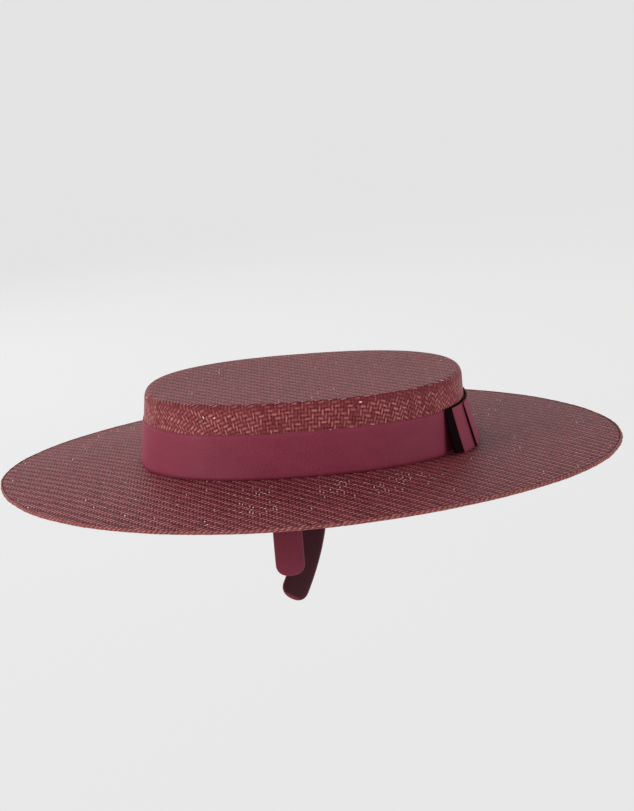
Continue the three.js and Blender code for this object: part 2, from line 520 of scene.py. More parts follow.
@dataclass(frozen=True)
class Straw:
    """Dyed straw in a two-over, two-under twill, read from strand coordinates.

    Cell (i, j) shows the strand along j where (i + j) mod 4 < 2, and else the one along i.
    A strand's relief over a two-cell float is 1 - |c|^2.2 - |r|^3, never below 0, with c and
    r its shares across and along the float, each from -1 to 1: a grain with dark corners of
    painted shade. On the upright wall both ways show alike but for painted shade that darkens
    the strands along i a little; the small dark holes where four cells meet are painted shade,
    and a thin painted highlight runs down each light float. On the tip and brim the strands
    along j show as narrow painted highlight dashes on a darker ground.
    """

    wall: Colour = (0.262, 0.060, 0.066, 1)
    wall_deep: Colour = (0.150, 0.022, 0.028, 1)
    ground: Colour = (0.155, 0.026, 0.033, 1)
    # painted highlight: the light dashes on the tip and brim
    highlight_dash: Colour = (0.60, 0.200, 0.205, 1)
    # painted highlight: drawn down the middle of each light float on the wall
    light: Colour = (0.64, 0.27, 0.26, 1)
    # painted shade: the colour of the holes, of the floats' low rims and of random darker floats
    shade: Colour = (0.03, 0.002, 0.005, 1)
    # painted highlight: the colour of the glints
    glint: Colour = (0.95, 0.66, 0.64, 1)
    glints: float = 0.008
    shiny: tuple[tuple[float, float, float], ...] = ()
    shiny_share: float = 0.34
    shiny_core: float = 0.3
    glint_size: Ramp = Ramp(0.06, 0.2, 1, 0)
    wall_foot: Ramp = Ramp(1 * MM, 2 * MM, 0, 1)
    wall_top: Ramp = Ramp(40.6 * MM, 41.6 * MM, 1, 0)
    wall_ridge: Ramp = Ramp(36.6 * MM, 39.6 * MM, 0, 0.6)
    crown_slope: float = 0.0117
    waver: float = 0.5
    waver_scale: float = 0.55
    side_power: float = 2.2
    end_power: float = 3.0
    streaks: float = 4.5
    streak_run: float = 0.7
    dye_step: float = 91.0
    patch_scale: float = 22.0
    tone_shares: tuple[float, float, float, float] = (0.2, 0.4, 0.5, 0.3)
    hole_size: Ramp = Ramp(0.64, 0.9, 0.0, 1.0)
    hole_depth: Ramp = Ramp(0.2, 0.9, 0.25, 1.0)
    deep_tone: Ramp = Ramp(0.35, 0.85, 0.8, 0.0)
    cross_shade: float = 0.25
    highlight_width: Ramp = Ramp(0.1, 0.45, 1, 0)
    highlight_length: Ramp = Ramp(0.4, 0.9, 1, 0)
    highlight_tone: Ramp = Ramp(0.45, 1.0, 0.0, 0.72)
    wall_rim_shade: Ramp = Ramp(0.0, 0.3, 0.35, 0.0)
    lean: float = 0.42
    dash_width: Ramp = Ramp(0.12, 0.62, 1, 0)
    dash_length: Ramp = Ramp(0.75, 1.0, 1, 0)
    dash_tone: Ramp = Ramp(0.2, 0.8, 0.45, 1.0)
    ground_tone: Ramp = Ramp(0.3, 0.85, 0.6, 0.0)
    flat_rim_shade: Ramp = Ramp(0.0, 0.45, 0.6, 0.0)
    roughness: tuple[float, float] = (0.30, 0.54)
    specular: float = 0.06
    relief: float = 0.3 * MM
    relief_strength: float = 0.8

    def sparkle(self, n: Nodes) -> Socket:
        """The share of floats that get a painted glint: a small one everywhere, more in the shiny places.

        A place's share falls smoothly to nothing at its radius in plan.

        Args:
            n: the material's nodes.

        Returns:
            The share, from 0 to 1.
        """
        flat = n.vector("MULTIPLY", n.coordinates("Object"), (1.0, 1.0, 0.0))
        share = self.glints
        for x, y, radius in self.shiny:
            away = n.vector("DISTANCE", flat, (x, y, 0.0))
            fall = Ramp(self.shiny_core * radius, radius, self.shiny_share, 0.0)
            share = n.math("MAXIMUM", share, n.ramp(away, fall))
        return share

    def twill(self, n: Nodes) -> Twill:
        """Works out the twill from the piece's strand coordinates, which waver a little.

        The odd numbers beside random values keep those of the two ways apart.

        Args:
            n: the material's nodes.

        Returns:
            The place on the twill.
        """
        i, j = n.strands()
        waver = n.separate(n.noise_colour(n.combine(i, j), self.waver_scale))
        i = n.add(i, n.times(n.minus(waver[0], 0.5), self.waver))
        j = n.add(j, n.times(n.minus(waver[1], 0.5), self.waver))
        cell_i, cell_j = n.math("FLOOR", i), n.math("FLOOR", j)
        part_i, part_j = n.math("FRACT", i), n.math("FRACT", j)
        place = n.math("FLOORED_MODULO", n.add(cell_i, cell_j), 4.0)
        along = n.math("LESS_THAN", place, 1.5)
        cross = n.blend(along, part_i, part_j)
        start = n.blend(along, n.minus(place, 2.0), place)
        run = n.add(start, n.blend(along, part_j, part_i))
        side = n.math("ABSOLUTE", n.minus(n.times(cross, 2.0), 1.0))
        end = n.math("ABSOLUTE", n.minus(run, 1.0))
        height = n.minus(1.0, n.math("POWER", side, self.side_power))
        height = n.math("SUBTRACT", height, n.math("POWER", end, self.end_power), clamp=True)
        first_i = n.minus(cell_i, n.times(along, start))
        first_j = n.minus(cell_j, n.times(n.minus(1.0, along), start))
        dye = n.white(n.combine(first_i, first_j, along))
        strand = n.white(n.combine(n.blend(along, cell_i, 0.37), n.blend(along, 0.71, cell_j), along))
        offset = n.add(n.times(cross, self.streaks), n.times(dye, self.dye_step))
        fibre = n.noise(n.combine(offset, n.times(run, self.streak_run), dye), 1.0, 3.0)
        patch = n.noise(n.coordinates("Object"), self.patch_scale, 3.0)
        parts = zip((strand, dye, fibre, patch), self.tone_shares)
        tone = n.add(*(n.times(part, share) for part, share in parts))
        corner_i = n.math("ABSOLUTE", n.minus(part_i, 0.5))
        corner_j = n.math("ABSOLUTE", n.minus(part_j, 0.5))
        knot = n.white(n.combine(n.math("ROUND", i), n.math("ROUND", j), 0.5))
        hole = n.times(n.ramp(n.add(corner_i, corner_j), self.hole_size), n.ramp(knot, self.hole_depth))
        return Twill(along, cross, run, side, end, height, dye, fibre, tone, hole)

    def wall_look(self, n: Nodes, t: Twill) -> Socket:
        """The wall's colour: both ways alike but for painted shade on the strands along i, in the holes
        and at the rims, and a thin painted highlight down each light float.

        Args:
            n: the material's nodes.
            t: the place on the twill.

        Returns:
            The colour.
        """
        colour = n.mix(n.ramp(t.tone, self.deep_tone), self.wall, self.wall_deep)
        # painted shade: the strands along i a little darker
        colour = n.mix(n.times(n.minus(1.0, t.along), self.cross_shade), colour, self.wall_deep)
        # painted highlight down the middle of each light float
        highlight_streak = n.times(n.ramp(t.side, self.highlight_width), n.ramp(t.end, self.highlight_length))
        colour = n.mix(n.times(highlight_streak, n.ramp(t.tone, self.highlight_tone)), colour, self.light)
        # painted shade in the holes and at the floats' low rims
        colour = n.mix(t.hole, colour, self.shade)
        return n.mix(n.ramp(t.height, self.wall_rim_shade), colour, self.shade)

    def flat_look(self, n: Nodes, t: Twill) -> Socket:
        """The tip's and brim's colour: painted highlight dashes that lean across dark floats, with painted
        shade at their rims and in the holes.

        Args:
            n: the material's nodes.
            t: the place on the twill.

        Returns:
            The colour.
        """
        middle = n.minus(n.minus(t.cross, 0.5), n.times(n.minus(t.run, 1.0), self.lean))
        away = n.math("ABSOLUTE", n.times(middle, 2.0))
        # painted highlight: a narrow leaning dash on each float along j
        highlight_dash = n.times(n.ramp(away, self.dash_width), n.ramp(t.end, self.dash_length))
        highlight_dash = n.times(highlight_dash, t.along, n.ramp(t.tone, self.dash_tone))
        colour = n.mix(n.ramp(t.tone, self.ground_tone), self.ground, self.shade)
        # painted shade at the floats' low rims and in the holes
        colour = n.mix(n.ramp(t.height, self.flat_rim_shade), colour, self.shade)
        colour = n.mix(t.hole, colour, self.shade)
        return n.mix(highlight_dash, colour, self.highlight_dash)

    def material(self, name: str) -> bpy.types.Material:
        """Builds the material: the flat look, the wall's look where it stands, and painted glints.

        Args:
            name: the material's name.

        Returns:
            The node material.
        """
        n = Nodes(name)
        t = self.twill(n)
        along_x, _, level = n.separate(n.coordinates("Object"))
        level = n.add(level, n.times(along_x, self.crown_slope))
        stands = n.times(n.ramp(level, self.wall_foot), n.ramp(level, self.wall_top))
        ridge = n.times(n.ramp(level, self.wall_ridge), stands)
        wall = n.mix(ridge, self.wall_look(n, t), self.wall_deep)
        colour = n.mix(stands, self.flat_look(n, t), wall)
        # painted glints: small highlights painted into the base colour
        is_glint = n.math("LESS_THAN", t.dye, self.sparkle(n))
        from_middle = n.add(n.math("POWER", t.side, 2.0), n.math("POWER", t.end, 2.0))
        spot = n.times(is_glint, n.ramp(from_middle, self.glint_size))
        n.feed(n.mix(spot, colour, self.glint), n.shader.inputs["Base Color"])
        n.feed(n.blend(t.fibre, *self.roughness), n.shader.inputs["Roughness"])
        n.shader.inputs["Specular IOR Level"].default_value = self.specular
        n.bump(t.height, self.relief, self.relief_strength)
        return n.material


@dataclass(frozen=True)
class Ribbon:
    """Fine ribbed ribbon: ribs across its width, read from its own map in millimetres.

    Its relief is half the sine of the ribs along it and a quarter that of the threads across.
    """

    colour: Colour = (0.255, 0.034, 0.064, 1)
    dark: Colour = (0.150, 0.017, 0.034, 1)
    ribs_per_mm: float = 1.4
    threads_per_mm: float = 2.94
    mottle_scale: tuple[float, float] = (0.05, 0.12)
    grain_scale: tuple[float, float] = (1.5, 2.5)
    mottle_share: float = 0.25
    relief_share: float = 0.12
    tone: Ramp = Ramp(0.4, 0.85, 0.0, 1.0)
    roughness: tuple[float, float] = (0.54, 0.70)
    sheen: float = 0.12
    sheen_roughness: float = 0.45
    sheen_tint: Colour = (0.85, 0.28, 0.42, 1)
    specular: float = 0.2
    relief: float = 0.06 * MM
    relief_strength: float = 0.5
    # a darker colour on one broad face of the band, fading at its rim
    darker_face: Colour | None = None
    darker_span: tuple[float, float] = (0.0, 0.0)
    fade: float = 0.5
    bare_tip: tuple[float, float] = (1.2, 1.8)
    length: float = 0.0

    def darker_face_share(self, n: Nodes, along: Socket, across: Socket) -> Socket:
        """The share of the darker face's colour: 1 on that face, fading at its rim.

        Args:
            n: the material's nodes.
            along: millimetres along the piece.
            across: millimetres round it.

        Returns:
            The share, from 0 to 1.
        """
        low, high = self.darker_span
        near, far = self.bare_tip
        from_low = n.ramp(across, Ramp(low, low + self.fade, 0, 1))
        to_high = n.ramp(across, Ramp(high - self.fade, high, 1, 0))
        from_tip = n.ramp(along, Ramp(near, far, 0, 1))
        to_tip = n.ramp(along, Ramp(self.length - far, self.length - near, 1, 0))
        return n.times(from_low, to_high, from_tip, to_tip)

    def material(self, name: str) -> bpy.types.Material:
        """Builds the material.

        Args:
            name: the material's name.

        Returns:
            The node material.
        """
        n = Nodes(name)
        along, across = n.strands()
        rib = n.math("SINE", n.times(along, 2 * math.pi * self.ribs_per_mm))
        thread = n.math("SINE", n.times(across, 2 * math.pi * self.threads_per_mm))
        relief = n.add(n.times(rib, 0.5), n.times(thread, 0.25))
        mottle_along, mottle_across = self.mottle_scale
        mottle = n.noise(n.combine(n.times(along, mottle_along), n.times(across, mottle_across)), 1.0, 4.0)
        grain_along, grain_across = self.grain_scale
        grain = n.noise(n.combine(n.times(along, grain_along), n.times(across, grain_across)), 1.0, 2.0)
        share = n.add(n.times(mottle, self.mottle_share), grain, n.times(relief, self.relief_share))
        colour = n.mix(n.ramp(share, self.tone), self.dark, self.colour)
        # darker on one broad face
        if self.darker_face is not None:
            colour = n.mix(self.darker_face_share(n, along, across), colour, self.darker_face)
        n.feed(colour, n.shader.inputs["Base Color"])
        n.feed(n.blend(grain, *self.roughness), n.shader.inputs["Roughness"])
        n.shader.inputs["Sheen Weight"].default_value = self.sheen
        n.shader.inputs["Sheen Roughness"].default_value = self.sheen_roughness
        n.shader.inputs["Sheen Tint"].default_value = self.sheen_tint
        n.shader.inputs["Specular IOR Level"].default_value = self.specular
        n.bump(relief, self.relief, self.relief_strength)
        return n.material


@dataclass(frozen=True)
class Felt:
    """Near-black felt, matted; its near-black also paints the deep shade beside the trim's ends."""

    colour: Colour = (0.003, 0.0008, 0.001, 1)
    light: Colour = (0.008, 0.002, 0.003, 1)
    tufts: float = 1800.0
    roughness: tuple[float, float] = (0.85, 1.0)
    specular: float = 0.04
    relief: float = 0.15 * MM
    relief_strength: float = 0.6

    def material(self, name: str) -> bpy.types.Material:
        """Builds the material.

        Args:
            name: the material's name.

        Returns:
            The node material.
        """
        n = Nodes(name)
        tuft = n.noise(n.coordinates("Object"), self.tufts, 4.0)
        n.feed(n.mix(tuft, self.colour, self.light), n.shader.inputs["Base Color"])
        n.feed(n.blend(tuft, *self.roughness), n.shader.inputs["Roughness"])
        n.shader.inputs["Specular IOR Level"].default_value = self.specular
        n.bump(tuft, self.relief, self.relief_strength)
        return n.material


class Finish(Enum):
    """The hat's finishes."""

    STRAW = "straw"
    STRAW_EDGE = "straw edge"
    RIBBON = "ribbon"
    FELT = "felt"
    COVER = "headband cover"


# painted glints gather at these places
SHINY = (  # x, y and radius of the places where the straw glints
    (-0.026, -0.125, 0.020),
    (-0.030, -0.098, 0.014),
    (0.016, -0.104, 0.020),
    (0.040, -0.112, 0.018),
    (0.058, -0.096, 0.020),
)


def make_finishes() -> dict[Finish, bpy.types.Material]:
    """Builds each material once.

    Returns:
        The materials by finish.
    """
    # the edge's straw has its own colours for the painted highlight dashes, ground and painted shade
    edge = Straw(
        highlight_dash=(0.66, 0.26, 0.24, 1),
        ground=(0.28, 0.075, 0.070, 1),
        shade=(0.07, 0.012, 0.014, 1),
        lean=0.0,
    )
    # the cover is darker on one broad face
    cover = Ribbon(
        colour=(0.20, 0.028, 0.052, 1),
        dark=(0.14, 0.018, 0.034, 1),
        darker_face=(0.040, 0.007, 0.012, 1),
        darker_span=(1.0, 17.0),
        length=Headband().length(),
    )
    return {
        Finish.STRAW: Straw(shiny=SHINY).material("woven_straw"),
        Finish.STRAW_EDGE: edge.material("straw_edge"),
        Finish.RIBBON: Ribbon().material("ribbed_ribbon"),
        Finish.FELT: Felt().material("black_felt_and_shade"),
        Finish.COVER: cover.material("headband_ribbon"),
    }


def dress(obj: bpy.types.Object, material: bpy.types.Material, slot: str, *nodes: str) -> bpy.types.Object:
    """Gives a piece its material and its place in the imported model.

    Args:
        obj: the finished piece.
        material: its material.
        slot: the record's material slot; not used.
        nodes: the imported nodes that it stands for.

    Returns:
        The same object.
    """
    obj.data.materials.clear()
    obj.data.materials.append(material)
    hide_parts(*nodes)
    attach(obj, "root")
    log.info("%s: %d faces", obj.name, len(obj.data.polygons))
    return obj


# The straw body

@dataclass
class CrownForm:
    """The crown's oval wall: leaning, slightly drawn in, rounded at its upper edge."""

    half_length: float = 94.15 * MM
    half_width: float = 76.8 * MM
    height: float = 41.7 * MM
    draw_in: float = 2.7 * MM
    lean: float = 2.4 * MM
    dip: float = 2.2 * MM
    edge_radius: float = 3.8 * MM
    power: float = 2.34
    straw: float = 1.6 * MM

    def outset(self, z: Array) -> Array:
        """How far the wall stands outside its foot line at a height: it leans inwards."""
        return -self.draw_in * z / self.height

    def dipped(self, x: Array) -> Array:
        """How far the crown dips at a place along the hat: dip x / length."""
        return self.dip * x / (2 * self.half_length)

    def rings(self, outset: Array, z: Array, share: Array, angle: Array) -> Array:
        """Rings round the crown.

        Each is the superoval of half-sizes share (a + outset), share (b + outset) at height
        z less the crown's dip, moved along X by lean z / height.

        Args:
            outset: per ring, metres outside the foot line.
            z: per ring, its height.
            share: per ring, how far it is scaled towards the middle.
            angle: columns, the angle round the hat.

        Returns:
            Points: rings, columns, xyz.
        """
        a = (share * (self.half_length + outset))[:, None]
        b = (share * (self.half_width + outset))[:, None]
        x, y = superoval(angle[None, :], a, b, self.power)
        x = x + (self.lean * z / self.height)[:, None]
        return np.stack([x, y, z[:, None] - self.dipped(x)], axis=-1)


@dataclass
class Weave:
    """A flat woven plate, blocked over the hat's form."""

    side_pitch: float = 1.82 * MM
    front_pitch: float = 2.25 * MM

    def plate(self, x: Array, y: Array) -> Array:
        """Strand coordinates of places on the flat plate: x and y over the two pitches."""
        return np.stack([x / self.side_pitch, y / self.front_pitch], axis=-1)


@dataclass
class StrawCrown:
    """The woven crown, one straw thick, hollow below."""

    form: CrownForm = field(default_factory=CrownForm)
    weave: Weave = field(default_factory=Weave)
    wall_rows: int = 22
    edge_rows: int = 10
    tip_rows: int = 34
    last_ring: float = 0.004  # its share of the tip; one face closes it

    def face(self, depth: float, angle: Array) -> tuple[Array, Array]:
        """The crown's outer face, or the inner one at a depth: wall, quarter-round, flat tip.

        Args:
            depth: metres inside the outer face.
            angle: columns.

        Returns:
            The points from the foot to the middle of the tip, and per ring its distance from
            the flat tip's edge, down over the quarter-round and the wall.
        """
        f = self.form
        edge_start = f.height - f.edge_radius
        wall_z = np.linspace(GAP, edge_start, self.wall_rows)
        turn = np.linspace(0, math.pi / 2, self.edge_rows)[1:]
        middle = f.outset(np.array(edge_start)) - f.edge_radius
        radius = f.edge_radius - depth
        share = np.linspace(1, self.last_ring, self.tip_rows)[1:]
        tip_z, tip_out = np.full(share.size, f.height - depth), np.full(share.size, middle)
        z = np.concatenate([wall_z, edge_start + radius * np.sin(turn), tip_z])
        out = np.concatenate([f.outset(wall_z) - depth, middle + radius * np.cos(turn), tip_out])
        scale = np.concatenate([np.ones(wall_z.size + turn.size), share])
        round_length = f.edge_radius * math.pi / 2
        wall_down = edge_start - wall_z + round_length
        down = np.concatenate([wall_down, round_length - f.edge_radius * turn, 0 * share])
        return f.rings(out, z, scale, angle), down

    def build(self) -> bpy.types.Object:
        """Makes the closed shell of both faces, with the strand map of one blocked plate.

        A place on the wall takes the strands that lie as far outside the tip's edge on the
        flat plate, along the plan normal, as it lies down from that edge.

        Returns:
            The piece.
        """
        angle = full_turn(ROUND)
        outer, down = self.face(0.0, angle)
        inner, _ = self.face(self.form.straw, angle)
        points = np.concatenate([inner[::-1], outer])
        edge = outer[self.wall_rows + self.edge_rows - 2]
        normal = ring_normals(edge[None])[0]
        on_tip = (down == 0)[:, None, None]
        plate = np.where(on_tip, outer, edge[None] + normal[None] * down[:, None, None])
        plate = closed_round(np.concatenate([plate[::-1], plate]))
        uv = self.weave.plate(plate[..., 0], plate[..., 1])
        return outward(build_surface("straw_crown", points, uv, False, True, end_rings(points)))


@dataclass
class BrimForm:
    """The brim's sheet: its plan goes from the crown's oval to an ellipse, and it droops."""

    crown: CrownForm = field(default_factory=CrownForm)
    half_length: float = 180.75 * MM
    half_width: float = 166.45 * MM
    shift: float = 3.3 * MM
    power: float = 1.91
    droop: float = 3.1 * MM
    arch: float = 0.85 * MM
    wave: float = 0.75 * MM
    wave_turn: float = math.radians(-103.5)
    hem: float = 1.2 * MM
    sag: float = 2.1 * MM
    sag_from: float = -0.25
    sag_full: float = 0.6

    def rings(self, share: Array, below: Array, outset: Array, angle: Array) -> Array:
        """Rings on the brim, from the crown's foot (share 0) to its outer edge (share 1).

        Half-sizes and the oval's power go linearly with share (power with share^0.7). The
        top face lies at -droop share^1.5 + share^2 (wave sin(3 t + turn) - arch cos 2 t),
        less the crown's dip times (1 - share)^2. The -Y side sags by sag share^2 more, from
        nothing where -sin t is sag_from to all of it at sag_full.

        Args:
            share: per ring.
            below: per ring, metres below the top face.
            outset: per ring, metres added outwards.
            angle: columns.

        Returns:
            Points: rings, columns, xyz.
        """
        inner = -self.crown.straw - GAP
        s = share[:, None]
        a0, b0 = self.crown.half_length + inner, self.crown.half_width + inner
        a1, b1 = self.half_length - GAP - self.hem, self.half_width - GAP - self.hem
        a = a0 + (a1 - a0) * s + outset[:, None]
        b = b0 + (b1 - b0) * s + outset[:, None]
        power = self.crown.power + (self.power - self.crown.power) * s**0.7
        x, y = superoval(angle[None, :], a, b, power)
        x = x + self.shift * s
        uneven = self.wave * np.sin(3 * angle + self.wave_turn) - self.arch * np.cos(2 * angle)
        sag = self.sag * smoothstep(self.sag_from, self.sag_full, -np.sin(angle))
        z = -self.droop * s**1.5 + s * s * (uneven - sag)[None, :] - self.crown.dipped(x) * (1 - s) ** 2
        return np.stack([x, y, z - below[:, None]], axis=-1)


@dataclass
class StrawBrim:
    """The woven brim: a thin sheet, its inner edge turned up inside the crown."""

    form: BrimForm = field(default_factory=BrimForm)
    weave: Weave = field(default_factory=Weave)
    rows: int = 70
    straw: float = 1.1 * MM
    collar_height: float = 5 * MM
    collar: float = 1.2 * MM
    bend: float = 2 * MM
    bend_rows: int = 8
    thick_to: float = 0.1
    thin_from: float = 0.4

    def build(self) -> bpy.types.Object:
        """Makes the closed sheet with the weave's strand map in plan.

        Near the crown it is as thick as the crown's straw, and it thins smoothly from there.

        Returns:
            The piece.
        """
        f, crown = self.form, self.form.crown
        angle = full_turn(ROUND)
        share = np.linspace(0, 1, self.rows)
        zero = np.zeros(share.size)
        top = f.rings(share, zero, zero, angle)
        low_share = share[share > self.thick_to][::-1]
        more = (crown.straw - self.straw) * (1 - smoothstep(self.thick_to, self.thin_from, low_share))
        bottom = f.rings(low_share, self.straw + more, np.zeros(low_share.size), angle)
        inside = -crown.straw - GAP - self.collar
        turn = np.linspace(0, math.pi / 2, self.bend_rows)
        bend = crown.rings(
            inside + self.bend * (1 - np.sin(turn)),
            -crown.straw + self.bend * (1 - np.cos(turn)),
            np.ones(turn.size),
            angle,
        )
        collar_z = np.array([self.collar_height])
        lip = np.array([1.0])
        lip_out = -crown.straw - GAP + crown.outset(collar_z)
        inner_lip = crown.rings(lip_out - self.collar, collar_z, lip, angle)
        outer_lip = crown.rings(lip_out, collar_z, lip, angle)
        points = np.concatenate([outer_lip, top, bottom, bend, inner_lip])
        closed = closed_round(points)
        uv = self.weave.plate(closed[..., 0], closed[..., 1])
        return outward(build_surface("straw_brim", points, uv, wrap_rows=True, wrap_columns=True))


@dataclass
class BrimEdge:
    """Straw turned round the brim's edge and back under it, a little uneven."""

    form: BrimForm = field(default_factory=BrimForm)
    width: float = 7 * MM
    hem: float = 0.7 * MM
    strand: float = 0.8 * MM
    under_gap: float = 0.1 * MM
    over: float = 0.2 * MM
    waves: float = 0.25 * MM
    wave_numbers: tuple[int, ...] = (23, 41, 67)
    ripples: float = 0.2 * MM
    ripple_numbers: tuple[int, ...] = (113, 171)
    columns: int = 1440
    round_rows: int = 9
    leaf_rows: int = 6

    def build(self) -> bpy.types.Object:
        """Makes the closed roll: half-round outside, a flat leaf under the brim.

        The half-round is shifted along the plan normal by half the sum of two ripples.

        Returns:
            The piece.
        """
        f = self.form
        angle = full_turn(self.columns)
        under = StrawBrim.straw + self.under_gap
        reach = f.half_length - GAP - f.hem - (f.crown.half_length - f.crown.straw - GAP)
        inner = 1 - self.width / reach
        turn = np.linspace(0, math.pi, self.round_rows)
        half = (under + self.hem + self.over) / 2
        round_out = GAP + f.hem * np.sin(turn)
        round_below = -self.over + half * (1 - np.cos(turn))
        leaf = np.linspace(1, inner, self.leaf_rows)[1:]
        leaf_below, leaf_above = np.full(leaf.size, under + self.hem), np.full(leaf.size + 1, under)
        share = np.concatenate([np.ones(turn.size), leaf, leaf[::-1], [1.0]])
        below = np.concatenate([round_below, leaf_below, leaf_above])
        out = np.concatenate([round_out, np.zeros(leaf.size * 2), [GAP]])
        points = f.rings(share, below, out, angle)
        uneven = ripple(angle, self.waves, 5, self.wave_numbers)
        uneven = uneven + ripple(angle, self.ripples, 6, self.ripple_numbers)
        normals = ring_normals(points)
        points[1 : turn.size - 1] += normals[1 : turn.size - 1] * uneven[None, :, None] * 0.5
        along = arc_length(closed_round(points))[:1]
        across = arc_length(points[None, :, 0])[0]
        uv = grid(along / self.strand, across[:, None] / self.strand)
        return outward(build_surface("brim_edge", points, uv, wrap_rows=True, wrap_columns=True))


# The ribbon, its trim and the headband

@dataclass
class CrownRibbon:
    """The ribbon round the crown, close on the straw."""

    crown: CrownForm = field(default_factory=CrownForm)
    width: float = 25.4 * MM
    thickness: float = 0.6 * MM
    gap: float = 0.1 * MM
    lift: float = 0.1 * MM
    rows: int = 14
    soft_edge: float = 0.03

    def build(self) -> bpy.types.Object:
        """Makes the closed ring, half as thick at its two edges as between them.

        Returns:
            The piece.
        """
        angle = full_turn(ROUND)
        share = np.linspace(0, 1, self.rows)
        z = self.lift + share * self.width
        one = np.ones(z.size)
        full = smoothstep(0, self.soft_edge, share) * smoothstep(1, 1 - self.soft_edge, share)
        inside = self.crown.outset(z) + self.gap
        outer = self.crown.rings(inside + self.thickness * (0.5 + 0.5 * full), z, one, angle)
        inner = self.crown.rings(inside, z, one, angle)
        points = np.concatenate([inner[::-1], outer])
        along = arc_length(closed_round(outer)[:1]) / MM
        up = np.concatenate([z[::-1], z]) / MM
        uv = grid(along, up[:, None])
        return outward(build_surface("crown_ribbon", points, uv, wrap_rows=True, wrap_columns=True))


@dataclass
class TrimLayer:
    """A flat length of ribbon or felt over the crown's +X end, its lower edge standing off."""

    name: str
    length: float
    width: float
    inside: float
    bottom: float
    ribbon: CrownRibbon = field(default_factory=CrownRibbon)
    thickness: float = 0.42 * MM
    splay: float = 5.3 * MM
    widening: float = 0.6 * MM
    splay_power: float = 1.15
    end_spring: float = 0.4 * MM
    spring_length: float = 89.6 * MM
    end_rise: float = 0.0
    rise_from: float = 0.72
    rise_top: float = 0.45
    rise_full: float = 0.6
    end_round: float = 0.8 * MM
    section_power: float = 9.0
    spacing_power: float = 0.9
    columns: int = 160
    rows: int = 26
    fine_half: int = 2000

    def beside(self, along: Array, out: Array, z: Array, share: Array) -> Array:
        """Points beside the ribbon.

        The crown's superoval at each height, grown by the ribbon, is stepped through by
        length from its +X end; a point lies out along the plan normal there.

        Args:
            along: per column, distance round the crown from +X.
            out: rows, columns, distance outside the ribbon.
            z: per row, height.
            share: per row, share of the width; the piece widens with it.

        Returns:
            Points: rows, columns, xyz.
        """
        stretch = 1 + 2 * self.widening * (share - 0.5) / self.length
        fine = np.linspace(-math.pi / 2, math.pi / 2, 2 * self.fine_half + 1)
        crown = self.ribbon.crown
        outset = crown.outset(z) + self.ribbon.gap + self.ribbon.thickness
        line = crown.rings(outset, z, np.ones(z.size), fine)
        normal = plan_normal(np.gradient(line, axis=1))
        gone = arc_length(line)
        gone -= gone[:, [self.fine_half]]
        steps = np.arange(fine.size)
        take = np.stack([np.interp(along * wide, row, steps) for row, wide in zip(gone, stretch)])
        low = np.clip(take.astype(int), 0, fine.size - 2)
        part = (take - low)[..., None]
        row = np.arange(z.size)[:, None]
        at = line[row, low] * (1 - part) + line[row, low + 1] * part
        facing = normal[row, low] * (1 - part) + normal[row, low + 1] * part
        return at + facing * out[..., None]

    def build(self) -> bpy.types.Object:
        """Makes the closed flat piece: a rounded-edge section carried along the crown.

        With s the share of its width, from its lower edge, and a the distance along it, it
        stands off by splay (1 - s)^1.15 + spring a^2, and its two ends rise a little more,
        least at the upper edge. It thins by half over its last end_round. Its columns lie
        closer near the ends, as |share|^0.9.

        Returns:
            The piece.
        """
        turn = full_turn(2 * self.rows)
        up, through = superoval(turn, np.array(0.5), np.array(0.5), np.array(self.section_power))
        share, depth = up + 0.5, through + 0.5
        spread = np.linspace(-1, 1, self.columns)
        spread = np.sign(spread) * np.abs(spread) ** self.spacing_power
        half = self.length / 2
        along = spread * half
        z = self.bottom + share * self.width
        splay = self.splay * (1 - share) ** self.splay_power
        spring = self.end_spring * (along / (self.spring_length / 2)) ** 2
        end = 1 - smoothstep(half - self.end_round, half, np.abs(along)) * 0.5
        thick = 0.5 + (depth[:, None] - 0.5) * end[None, :]
        out = self.inside + self.thickness * thick + splay[:, None] + spring[None, :]
        rise = self.end_rise * smoothstep(self.rise_from * half, half, np.abs(along))
        by_height = self.rise_top + (1 - self.rise_top) * smoothstep(1.0, self.rise_full, share)
        out = out + rise[None, :] * by_height[:, None]
        points = self.beside(along, out, z, share)
        gone = arc_length(points)[:1] / MM
        uv = grid(gone, (share * self.width / MM)[:, None])
        first = np.arange(share.size) * self.columns
        caps = (first, first + self.columns - 1)
        return outward(build_surface(self.name, points, uv, True, False, caps))


@dataclass
class RibbonTrim:
    """Two flat lengths of ribbon stacked on a narrow near-black backing, whose near-black also paints the
    deep shade beside the trim's ends.
    """

    ribbon: CrownRibbon = field(default_factory=CrownRibbon)
    long_length: float = 89.6 * MM
    short_length: float = 60.4 * MM
    backing_length: float = 104 * MM
    backing_width: float = 24.8 * MM
    backing_peep: float = 0.9 * MM
    backing_widening: float = -1.2 * MM
    layer: float = TrimLayer.thickness
    gap: float = 0.1 * MM
    short_rise: float = 1.1 * MM

    def build(self) -> dict[str, bpy.types.Object]:
        """Makes the three layers, from the crown outwards.

        Returns:
            The pieces by their place in the trim.
        """
        lift, width = self.ribbon.lift, self.ribbon.width
        step = self.layer + self.gap
        backing = TrimLayer(
            "felt_backing", self.backing_length, self.backing_width, self.gap,
            lift + width + self.backing_peep - self.backing_width, widening=self.backing_widening,
        )
        long = TrimLayer("long_ribbon", self.long_length, width, self.gap + step, lift)
        short = TrimLayer(
            "short_ribbon", self.short_length, width, self.gap + 2 * step, lift, end_rise=self.short_rise
        )
        return {"backing": backing.build(), "long": long.build(), "short": short.build()}


